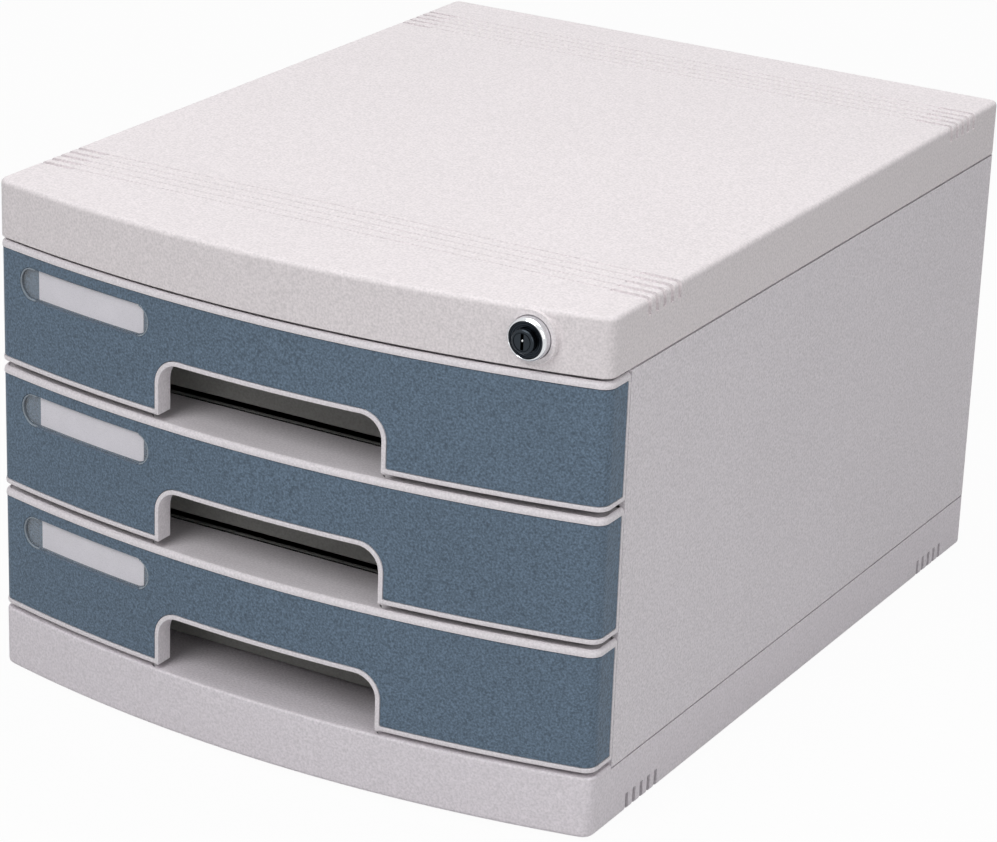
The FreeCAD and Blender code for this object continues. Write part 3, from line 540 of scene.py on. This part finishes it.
def moulded(name, colour, roughness, grain, speckle):
    """Matt plastic from a spark-eroded mould: fine grain, a speckle, clouds and light rubs."""
    grain_mm, grain_depth = grain
    finish = Finish(name, colour, roughness, IOR=1.46, Specular_IOR_Level=0.3)
    pits = finish.cells(grain_mm)
    fine = finish.noise(grain_mm * 1.3, 3.0)
    clouds = finish.noise(90.0, 2.0)
    rubs = finish.ramp(finish.noise(2.4, 4.0, finish.stretched(1.0, 0.12, 1.0)), 0.68, 0.80)
    tone = finish.ramp(fine * 0.92 + clouds * 0.08, 0.32, 0.68)
    base = finish.blend(tone, shade(colour, 1 - speckle), shade(colour, 1 + speckle))
    finish.set(Base_Color=finish.blend(rubs * 0.10, base, shade(colour, 1.10)))
    finish.set(Roughness=roughness + (clouds - 0.5) * 0.08 + (fine - 0.5) * 0.14 - rubs * 0.10)
    finish.relief(pits * 0.6 + fine * 0.4, grain_depth)
    return finish.material


def clear_lens(name):
    """Polished clear plastic: see-through, glossier at a slant, faintly dusty and scuffed."""
    finish = Finish(name, (0.95, 0.96, 0.97), 0.05, Metallic=1.0)
    dust = finish.ramp(finish.noise(1.3, 5.0), 0.60, 0.75)
    hairs = finish.ramp(finish.noise(0.9, 3.0, finish.stretched(0.04, 1.0, 1.0)), 0.70, 0.80)
    slant = Value(finish, finish.node("ShaderNodeLayerWeight", None, {"Blend": 0.5}).outputs["Facing"])
    steep = slant * slant
    gloss = steep * steep * slant * 0.96 + 0.04
    finish.set(Roughness=0.04 + dust * 0.25 + hairs * 0.10, Alpha=gloss + dust * 0.03 + hairs * 0.02)
    finish.relief(finish.noise(14.0, 1.0), 0.02)
    return finish.material


def card(name, colour):
    """Plain uncoated card: felted fibres and a slight cloudiness."""
    finish = Finish(name, colour, 0.85, IOR=1.4)
    fibres = finish.noise(0.5, 5.0, finish.stretched(0.35, 1.0, 1.0))
    clouds = finish.noise(12.0, 2.0)
    tone = finish.ramp(fibres * 0.6 + clouds * 0.4, 0.35, 0.65)
    finish.set(Base_Color=finish.blend(tone, shade(colour, 0.95), shade(colour, 1.04)),
               Roughness=0.80 + fibres * 0.12)
    finish.relief(fibres, 0.03)
    return finish.material


def plated(name, colour, roughness, brush, scratch_depth):
    """Bright or satin plating; brush draws the scratches out along one axis."""
    finish = Finish(name, colour, roughness, Metallic=1.0)
    lines = finish.noise(0.30, 4.0, finish.stretched(*brush))
    haze = finish.noise(5.0, 3.0)
    spots = finish.ramp(finish.noise(1.1, 4.0), 0.66, 0.78)
    tone = finish.ramp(lines * 0.6 + haze * 0.4, 0.35, 0.65)
    clean = finish.blend(tone, shade(colour, 0.93), shade(colour, 1.05))
    finish.set(Base_Color=finish.blend(spots * 0.25, clean, shade(colour, 0.7)),
               Roughness=roughness + (haze - 0.5) * 0.10 + spots * 0.12)
    finish.relief(lines, scratch_depth)
    return finish.material


def foot_rubber(name, colour):
    """Soft black rubber with a bloom of pale dust."""
    finish = Finish(name, colour, 0.82, IOR=1.5)
    pores = finish.cells(0.5)
    bloom = finish.ramp(finish.noise(3.0, 5.0), 0.5, 0.75)
    finish.set(Base_Color=finish.blend(bloom * 0.3, (*colour, 1), (0.16, 0.155, 0.15, 1)),
               Roughness=0.74 + bloom * 0.18)
    finish.relief(pores, 0.06)
    return finish.material


EVEN = (1.0, 1.0, 1.0)     # scratches without a direction
UPRIGHT = (1.0, 1.0, 0.06)

COVER_PLASTIC = moulded("cover_plastic", (0.80, 0.75, 0.765), 0.52, grain=(0.75, 0.030), speckle=0.13)
PANEL_PLASTIC = moulded("panel_plastic", (0.79, 0.75, 0.785), 0.56, grain=(0.80, 0.035), speckle=0.16)
BASE_PLASTIC = moulded("base_plastic", (0.79, 0.745, 0.785), 0.55, grain=(0.80, 0.035), speckle=0.13)
FRAME_PLASTIC = moulded("frame_plastic", (0.81, 0.77, 0.80), 0.48, grain=(0.70, 0.025), speckle=0.10)
FASCIA_PLASTIC = moulded("fascia_plastic", (0.118, 0.168, 0.228), 0.55, grain=(0.70, 0.045), speckle=0.40)
TRAY_PLASTIC = moulded("tray_plastic", (0.27, 0.27, 0.255), 0.50, grain=(0.80, 0.035), speckle=0.12)
BACK_PLASTIC = moulded("back_plastic", (0.70, 0.69, 0.70), 0.60, grain=(0.80, 0.035), speckle=0.10)
LABEL_LENS = clear_lens("label_lens")
# painted highlight colour for the ring inside each label lens
PAINTED_LENS_GLOW = card("painted_lens_glow", (0.30, 0.36, 0.42))
LABEL_PAPER = card("label_paper", (0.80, 0.775, 0.83))
LOCK_CHROME = plated("lock_chrome", (0.74, 0.75, 0.77), 0.10, EVEN, scratch_depth=0.003)
# painted dark reflection: the plug and the bezel's face get near-black metal colours that stand for a dark
# reflection
PAINTED_DARK_PLUG_METAL = plated("lock_dark", (0.035, 0.042, 0.05), 0.20, EVEN, scratch_depth=0.008)
PAINTED_DARK_FACE_METAL = plated("lock_face_painted_dark", (0.030, 0.036, 0.045), 0.26, EVEN, scratch_depth=0.010)
BAR_STEEL = plated("bar_steel", (0.62, 0.63, 0.65), 0.34, UPRIGHT, scratch_depth=0.010)
SCREW_STEEL = plated("screw_steel", (0.60, 0.60, 0.62), 0.28, EVEN, scratch_depth=0.010)
FOOT_RUBBER = foot_rubber("foot_rubber", (0.030, 0.030, 0.032))


# ---- cover and base ----

def groove_ys(shift=0.0):
    """Y of the ten grooves: a group near the front and its mirror near the back."""
    return [SHOULDER_Y + d + shift for d in GROOVE_PLACES] + [BACK_Y - d + shift for d in GROOVE_PLACES]


def corner_groove(y):
    """Cutter for one groove that deepens along the top and turns down over the side."""
    bm = bmesh.new()
    deep_x = HALF - GROOVE_DEPTH
    deep_z = TOP_Z - GROOVE_DEPTH
    plan = [(HALF - GROOVE_RUN, TOP_Z - GROOVE_START), (deep_x, deep_z), (deep_x, TOP_Z - GROOVE_DROP),
            (HALF + 2, TOP_Z - GROOVE_DROP), (HALF + 2, TOP_Z + 2), (HALF - GROOVE_RUN, TOP_Z + 2)]
    section = bm.faces.new([bm.verts.new((x, y - GROOVE_W / 2, z)) for x, z in plan])
    turn = [v for v in section.verts if abs(v.co.x - deep_x) < SAME and abs(v.co.z - deep_z) < SAME]
    rounded(bm, turn, GROOVE_TURN_R, GROOVE_TURN_STEPS, "VERTICES")
    return drawn_out(bm, (0, GROOVE_W, 0))


def cover_form():
    """Shell with the lock's pad and bore, the screw bosses, the grooves and the fine lines."""
    body = plan_prism(0, BACK_Y, COVER_Z, TOP_Z, COVER_EDGE_R, COVER_LOW_R, BACK_R)
    hollow = plan_prism(WALL, BACK_Y - WALL, COVER_Z - OVER, TOP_Z - WALL, rear_r=BACK_R - WALL)
    pad = turned(LOCK_X, LOCK_Z, LOCK_PAD)
    bore = turned(LOCK_X, LOCK_Z, LOCK_BORE)
    bosses = [column(x, y, BOSS_R, EAR_TOP_Z, TOP_Z - OVER) for x, y in COVER_SCREWS]
    pilots = [column(x, y, PILOT_R, COVER_Z - FAR, EAR_TOP_Z + PILOT_DEPTH) for x, y in COVER_SCREWS]
    right = [corner_groove(y) for y in groove_ys()]
    left = [mirrored(corner_groove(y)) for y in groove_ys()]
    body = added(cut(body, hollow), pad, *bosses)
    body = softened(cut(body, bore, *pilots, *right, *left), MOULD_EDGE)
    line = (-HALF + FINE_INSET, HALF - FINE_INSET)
    depth = (TOP_Z - FINE_DEPTH, TOP_Z + 1)
    return cut(body, *[block(*line, y - FINE_HALF, y + FINE_HALF, *depth) for y in groove_ys()])


def base_form():
    """Plinth and deck with ribs and foot bosses, and its rebates, slots, seats and holes."""
    body = plan_prism(0, BACK_Y, BASE_LOW_Z, BASE_DECK_Z, BASE_DECK_R, BASE_LOW_R, BACK_R)
    hollow = plan_prism(WALL, BACK_Y - WALL, BASE_LOW_Z - OVER, BASE_DECK_Z - WALL, rear_r=BACK_R - WALL)
    ledge = (PANEL_LOW_Z - SEAM, BASE_DECK_Z + OVER)
    back_rebate = block(-HALF - OVER, HALF + OVER, BACK_SEAT_Y, BACK_Y + OVER, *ledge)
    tools = []
    for side in (-1, 1):
        inner, outer = sorted((side * PANEL_SEAT_X, side * (HALF + OVER)))
        tools.append(block(inner, outer, PANEL_FRONT_Y - CLEAR, PANEL_BACK_Y, *ledge))
        inner, outer = sorted((side * SLOT_INNER_X, side * (HALF + OVER)))
        for y in groove_ys(SLOT_SHIFT):
            tools.append(block(inner, outer, y - GROOVE_W / 2, y + GROOVE_W / 2, 0, SLOT_TOP_Z))
    rib = (RIB_LOW_Z, RIB_TOP_Z)
    side_x, back_y = HALF - RIB_END, BACK_Y - RIB_END
    ribs = [block(x - RIB_HALF, x + RIB_HALF, SHOULDER_Y, back_y, *rib) for x in RIB_XS]
    ribs += [block(-side_x, side_x, y - RIB_HALF, y + RIB_HALF, *rib) for y in RIB_YS]
    body = cut(body, hollow)
    for form in ribs:
        body = added(body, form)
    body = added(body, *[column(x, y, FOOT_BOSS_R, BASE_LOW_Z, RIB_TOP_Z) for x, y in FEET])
    tools += [column(x, y, FOOT_SEAT_R, 0, FOOT_SEAT_Z) for x, y in FEET]
    tools += [column(x, y, BASE_SCREW_R, 0, BASE_SCREW_TOP_Z) for x, y in BASE_SCREWS]
    return softened(cut(cut(body, back_rebate), *tools), MOULD_EDGE)


# ---- drawer fronts ----

def frame_form():
    """The lowest drawer's frame: rounded rims, fascia pocket and finger cutout."""
    z0 = LOWEST_Z
    z1 = z0 + FRONT_HEIGHT
    front = FRONT_Y - OVER
    rear = FRAME_REAR_Y
    grip_top = z0 + GRIP_HEIGHT + GRIP_RIM
    body = trimmed(plan_prism(0, rear + FRAME_SPARE, z0, z1, FRAME_TOP_R, FRAME_LOW_R), rear)
    body = cut(body, plan_prism(RIM_STEP_SET, rear + FAR + OVER, z1 - RIM_STEP, z1 + OVER))
    hollow = plan_prism(FRAME_SKIN, rear + OVER, z0 - OVER, z1 - FRAME_TOP_T)
    rim_area = arch(GRIP_HALF + GRIP_RIM, z0 - OVER, grip_top, GRIP_R + GRIP_RIM, front, rear)
    pocket = plan_prism(-OVER, rear - RIM_SIDE, z0 + RIM_BOTTOM, z1 - RIM_TOP)
    floor_skin = plan_prism(FASCIA_FLOOR, rear + FAR, z0 - FAR, z1 + FAR)
    pocket = cut(cut(pocket, floor_skin), rim_area.copy())
    behind = plan_prism(0, 0, z0 - FAR, z1)
    bmesh.ops.translate(behind, vec=(0, GRIP_WALL, 0), verts=behind.verts)
    wall = cut(plan_prism(WALL_SET, rear - OVER, z0 + WALL_LIFT, grip_top), behind)
    wall = shared(wall, rim_area)
    opening = arch(GRIP_HALF, z0 - GRIP_OVER, z0 + GRIP_HEIGHT, GRIP_R, FRONT_Y - GRIP_OVER, rear - OVER)
    cup_hole = stadium(LABEL_X, z0 + LABEL_Z, LABEL_L + CUP_HOLE_RIM, LABEL_H + CUP_HOLE_RIM,
                       front, rear - CUP_HOLE_STOP)
    body = cut(added(cut(cut(body, hollow), pocket), wall), opening, cup_hole)
    return softened(body, FRAME_EDGE)


def fascia_form():
    """The lowest drawer's fascia: a thin plate with the label pocket moulded in."""
    z0 = LOWEST_Z
    low = z0 + RIM_BOTTOM + FASCIA_GAP
    high = z0 + FRONT_HEIGHT - RIM_TOP - FASCIA_GAP
    front = FRONT_Y - OVER
    rear = FRAME_REAR_Y - RIM_SIDE - FASCIA_GAP
    label_z = z0 + LABEL_Z
    behind = plan_prism(FASCIA_BACK, rear + FAR, low - OVER, high + OVER)
    plate = cut(plan_prism(FASCIA_SET, rear, low, high), behind)
    rim = GRIP_RIM + FASCIA_GAP
    grip = arch(GRIP_HALF + rim, z0 - OVER, z0 + GRIP_HEIGHT + rim, GRIP_R + rim, front, rear)
    cup = stadium(LABEL_X, label_z, LABEL_L + CUP_RIM, LABEL_H + CUP_RIM, front, rear)
    cup = shared(cup, plan_prism(CUP_SET, rear, low - OVER, high + OVER))
    cup = cut(cup, plan_prism(CUP_BACK, rear + FAR, low - FAR, high + FAR))
    hole = stadium(LABEL_X, label_z, LABEL_L, LABEL_H, front, rear)
    hole = cut(hole, plan_prism(CUP_FLOOR, rear + FAR, low - FAR, high + FAR))
    return softened(cut(added(cut(plate, grip), cup), hole), FASCIA_EDGE)


def painted_lens_glow_form():
    """Painted highlight inside the lowest label lens: a pale opaque ring that stands for the light
    gathering in the edge of clear plastic.
    """
    z = LOWEST_Z + LABEL_Z
    low, high = z - LENS_GLOW_REACH, z + LENS_GLOW_REACH
    front = FRONT_Y - FAR
    rear = SHOULDER_Y + LENS_GLOW_REAR
    ring = stadium(LABEL_X, z, LABEL_L - LENS_GLOW_OUT, LABEL_H - LENS_GLOW_OUT, FRONT_Y - OVER, rear)
    middle = stadium(LABEL_X, z, LABEL_L - LENS_GLOW_IN, LABEL_H - LENS_GLOW_IN, front, rear + OVER)
    ring = shared(cut(ring, middle), plan_prism(LENS_GLOW_SET, rear + FAR, low, high))
    ring = cut(ring, plan_prism(LENS_GLOW_BACK, rear + FAR + OVER, low - OVER, high + OVER))
    return cut(ring, block(*LENS_GLOW_GAP, front, rear + OVER, low, high))


def raised(bm, number):
    """A copy of the lowest drawer's form at another drawer's height."""
    copy = bm.copy()
    bmesh.ops.translate(copy, vec=(0, 0, PITCH * (len(DRAWERS) - number)), verts=copy.verts)
    return copy


# ---- lock ----

def housing_form():
    """Thin-lipped bezel and barrel in one turning; the bezel's face is dished."""
    profile = [(5.16, -166.9), (5.16, -189.7), (7.4, -189.7), (7.5, -189.8), (7.7, -191.15),
               (7.85, -191.28), (8.0, -191.25), (8.35, -191.0), (8.68, -190.6), (8.92, -190.1),
               (9.0, -189.6), (9.0, -185.2), (8.9, -185.1), (7.0, -185.1), (7.0, -167.1),
               (6.8, -166.9), (5.16, -166.9)]
    return turned(LOCK_X, LOCK_Z, profile)


def ringed_face():
    """Near-black disc on the floor of the bezel's dish, turned with three fine rings; its near-black
    colour is painted dark reflection.
    """
    profile = [(5.2, -189.72), (5.2, -190.75), (5.35, -190.9), (5.75, -190.9), (5.9, -190.6),
               (6.05, -190.6), (6.2, -190.9), (6.6, -190.9), (6.75, -190.6), (6.9, -190.6),
               (7.05, -190.9), (7.4, -190.9), (7.52, -190.75), (7.42, -189.9), (7.3, -189.72),
               (5.2, -189.72)]
    return turned(LOCK_X, LOCK_Z, profile)


def lock_bar(half_w, half_h, ys):
    """A square bar along the lock's axis."""
    return block(LOCK_X - half_w, LOCK_X + half_w, *ys, LOCK_Z - half_h, LOCK_Z + half_h)


def plug_form():
    """Turned plug with a ringed face, the keyway and the square tail."""
    profile = [(0, -193.8), (3.5, -193.8), (3.65, -193.5), (3.85, -193.5), (4.0, -193.8), (4.4, -193.8),
               (4.75, -193.72), (4.98, -193.48), (5.1, -193.1), (5.1, -166.9), (0, -166.9)]
    body = turned(LOCK_X, LOCK_Z, profile)
    tail = lock_bar(TAIL_HALF, TAIL_HALF, TAIL_YS)
    return cut(added(body, tail), lock_bar(KEYWAY_HALF_W, KEYWAY_HALF_H, KEYWAY_YS))


def shutter_pin():
    """Bright pin across the keyway that carries its dust shutter."""
    profile = [(0, -193.7), (0.4, -193.62), (0.62, -193.35), (0.64, -193.0), (0.64, -182.2), (0, -182.2)]
    return turned(LOCK_X, LOCK_Z + PIN_LIFT, profile, PIN_STEPS)


# ---- the pieces in place ----

def carried(node, body, finish, width):
    """A CAD piece kept as it is, with its sharp edges broken."""
    form = cad_form(node)
    place("soft_" + node, softened(form, width) if width else form, finish, body, node)


def cabinet():
    """The pieces that stand still."""
    place("cover_shell", cover_form(), COVER_PLASTIC, "cabinet", "top_cover")
    place("base_shell", base_form(), BASE_PLASTIC, "cabinet", "base")
    for side in ("left", "right"):
        carried(side + "_side_panel", "cabinet", PANEL_PLASTIC, PANEL_EDGE)
    carried("back_panel", "cabinet", BACK_PLASTIC, PANEL_EDGE)
    carried("rubber_feet", "cabinet", FOOT_RUBBER, 0)
    for node in ("cover_screws", "base_screws"):
        carried(node, "cabinet", SCREW_STEEL, STEEL_EDGE)


def drawers():
    """Three equal drawers, each on its own body."""
    frame_master = frame_form()
    fascia_master = fascia_form()
    glow_master = painted_lens_glow_form()
    for number in DRAWERS:
        body = f"drawer_{number}"
        node = body + "_"
        place(node + "rims", raised(frame_master, number), FRAME_PLASTIC, body,
              node + "front_frame")
        place(node + "blue_plate", raised(fascia_master, number), FASCIA_PLASTIC, body,
              node + "fascia")
        carried(node + "tray", body, TRAY_PLASTIC, PANEL_EDGE)
        carried(node + "label_window", body, LABEL_LENS, LENS_ROUND)
        # painted highlight ring inside the ends of each label lens
        place(node + "painted_lens_glow", raised(glow_master, number), PAINTED_LENS_GLOW, body,
              node + "label_window")
        carried(node + "label_card", body, LABEL_PAPER, 0)
        carried(node + "front_screws", body, SCREW_STEEL, STEEL_EDGE)
        for clip in ("stop_clips", "lock_keeper"):
            carried(node + clip, body, TRAY_PLASTIC, CLIP_EDGE)


def lock():
    """The cam lock in the cover, and the bar that it drops."""
    place("lock_bezel", housing_form(), LOCK_CHROME, "cabinet", "lock_housing")
    # the face and the plug are near-black as painted dark reflection
    place("lock_face", ringed_face(), PAINTED_DARK_FACE_METAL, "cabinet", "lock_housing")
    place("lock_core", plug_form(), PAINTED_DARK_PLUG_METAL, "lock_cylinder", "lock_plug")
    place("shutter_pin", shutter_pin(), LOCK_CHROME, "lock_cylinder", "lock_plug")
    carried("lock_nut", "cabinet", SCREW_STEEL, STEEL_EDGE)
    carried("lock_cam", "lock_cylinder", BAR_STEEL, CAM_EDGE)
    carried("lock_cam_screw", "lock_cylinder", SCREW_STEEL, CAM_EDGE)
    for node in ("locking_bar", "locking_bar_hooks"):
        carried(node, "locking_bar", BAR_STEEL, STEEL_EDGE)


# ---- studio ----

FLOOR_HALF = 6.0
FLOOR_GREY = (0.62, 0.62, 0.62)
FLOOR_WHITE = 0.96        # how much of the floor is plain white to the camera
AMBIENT = 0.13
LAMPS = (                 # name, place, aim, size and power
    ("overhead", (0.1, 0.2, 2.2), (0, 0, 0.1), (2.0, 2.0), 29),
    ("front_window", (-0.35, -1.9, 1.9), (0, 0, 0.12), (1.4, 1.4), 27),
    ("right_window", (1.5, -0.9, 0.75), (0.15, -0.1, 0.12), (0.9, 0.9), 6.5),
)
EYE = (0.751649, -1.316178, 0.687264)
EYE_AZIMUTH = math.radians(29.824)
EYE_ELEVATION = math.radians(21.371)
EYE_ROLL = math.radians(2.145)
LENS_MM = 127.59
SENSOR_MM = 36.0


def floor():
    """Pale floor, mostly plain white to the camera, that keeps the cabinet's shadow."""
    bm = bmesh.new()
    bmesh.ops.create_grid(bm, x_segments=1, y_segments=1, size=FLOOR_HALF)
    ground = as_object("floor", bm)
    finish = Finish("floor_white", FLOOR_GREY, 0.8, IOR=1.3, Specular_IOR_Level=0.2)
    finish.set(Roughness=0.76 + finish.noise(60.0, 3.0) * 0.1)
    glow = finish.node("ShaderNodeEmission", None, {"Color": (1, 1, 1, 1), "Strength": 1.0})
    seen = finish.white_rays("Is Camera Ray", "Is Glossy Ray") * FLOOR_WHITE
    mixed = finish.node("ShaderNodeMixShader", None,
                        {0: seen, 1: finish.shader.outputs[0], 2: glow.outputs[0]})
    finish.feed(finish.tree.nodes["Material Output"].inputs["Surface"], mixed.outputs[0])
    ground.data.materials.append(finish.material)


def backdrop():
    """White to the camera and in reflections, a low plain light on everything else."""
    world = bpy.data.worlds.new("studio")
    bpy.context.scene.world = world
    sky = NodeTree(world)
    seen = sky.white_rays("Is Camera Ray", "Is Glossy Ray", "Is Transmission Ray")
    strength = sky.node("ShaderNodeMix", None, {0: seen, 2: AMBIENT, 3: 1.0}).outputs[0]
    background = sky.tree.nodes["Background"]
    sky.feed(background.inputs["Strength"], strength)
    sky.feed(background.inputs["Color"], (1, 1, 1, 1))


def lamp(name, where, aim, size, power):
    """A soft rectangular lamp that faces a point."""
    light = bpy.data.lights.new(name, "AREA")
    light.shape = "RECTANGLE"
    light.size, light.size_y = size
    light.energy = power
    holder = bpy.data.objects.new(name, light)
    holder.location = where
    holder.rotation_euler = (Vector(aim) - Vector(where)).to_track_quat("-Z", "Y").to_euler()
    bpy.context.scene.collection.objects.link(holder)


def camera():
    """A long lens above the front right corner, rolled a little."""
    across = Vector((math.cos(EYE_AZIMUTH), math.sin(EYE_AZIMUTH), 0))
    level = math.cos(EYE_ELEVATION)
    back = Vector((math.sin(EYE_AZIMUTH) * level, -math.cos(EYE_AZIMUTH) * level, math.sin(EYE_ELEVATION)))
    up = back.cross(across)
    right = across * math.cos(EYE_ROLL) + up * math.sin(EYE_ROLL)
    top = up * math.cos(EYE_ROLL) - across * math.sin(EYE_ROLL)
    view = bpy.data.cameras.new("camera")
    view.lens = LENS_MM
    view.sensor_width = SENSOR_MM
    holder = bpy.data.objects.new("camera", view)
    turn = Matrix((right, top, back)).transposed().to_4x4()
    holder.matrix_world = Matrix.Translation(EYE) @ turn
    bpy.context.scene.collection.objects.link(holder)
    bpy.context.scene.camera = holder


cabinet()
drawers()
lock()
floor()
backdrop()
for settings in LAMPS:
    lamp(*settings)
camera()
bpy.context.scene.view_settings.view_transform = "Standard"
